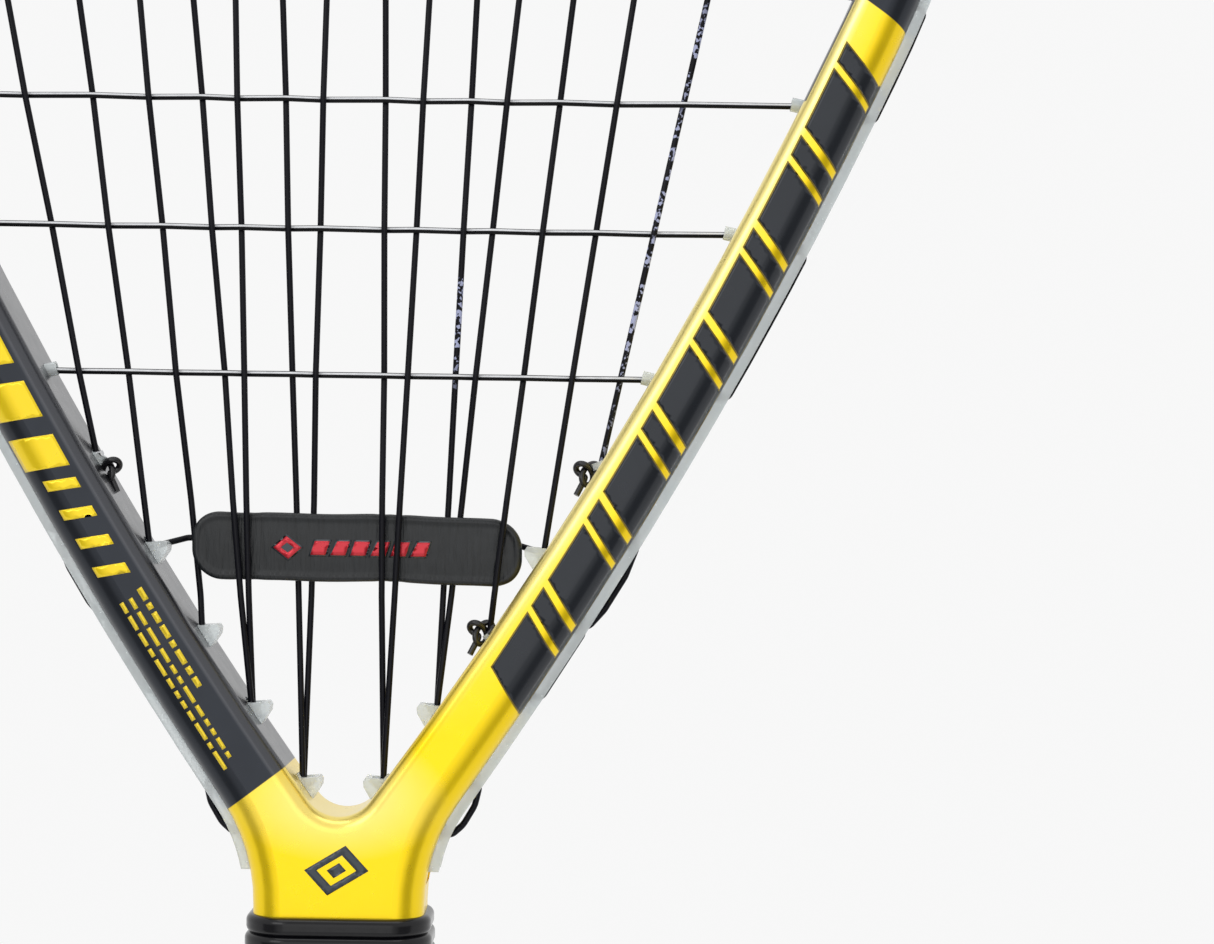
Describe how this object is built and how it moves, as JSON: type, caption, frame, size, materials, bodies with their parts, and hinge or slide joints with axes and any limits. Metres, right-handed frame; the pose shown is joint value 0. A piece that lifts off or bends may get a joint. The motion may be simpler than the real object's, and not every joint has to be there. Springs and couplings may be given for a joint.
{
  "type": "racquetball racket",
  "caption": "Strung racquetball racket: teardrop hoop, V throat, woven string bed with dampener bar, clear grommet strips, ribbed collar and wound octagonal grip.",
  "frame": {"origin": "centre of the butt end, where the racket would stand on its butt", "axes": "+Z along the racket from butt to head, +Y through the hoop from the front face to the back, +X across the hoop"},
  "size_m": [0.262, 0.0336, 0.559],
  "materials": {
    "frame_paint": "gloss lacquer over graphite, yellow with charcoal panels",
    "clear_nylon": "translucent",
    "bumper_nylon": "satin",
    "string_nylon": "gloss",
    "bar_rubber": "satin",
    "pallet_foam": "matte",
    "cap_plastic": "satin",
    "staple_wire": "bright",
    "badge_plastic": "gloss",
    "wound_grip": "tacky matte with perforations",
    "tape_vinyl": "satin",
    "collar_rubber": "gloss"
  },
  "bodies": {
    "root": {"frame": "frame_paint", "grommet_strip_left": "clear_nylon", "grommet_strip_right": "clear_nylon", "bumper_guard": "bumper_nylon", "main_string": "string_nylon", "cross_string": "string_nylon", "knot_left_upper": "string_nylon", "knot_right_upper": "string_nylon", "knot_right_lower": "string_nylon", "dampener_bar": "bar_rubber", "pallet_front": "pallet_foam", "pallet_back": "pallet_foam", "shaft_plug": "pallet_foam", "butt_cap": "cap_plastic", "butt_cap_staples": "staple_wire", "butt_badge": "badge_plastic", "grip_wrap": "wound_grip", "finishing_tape": "tape_vinyl", "grip_collar": "collar_rubber"}
  },
  "joints": []
}
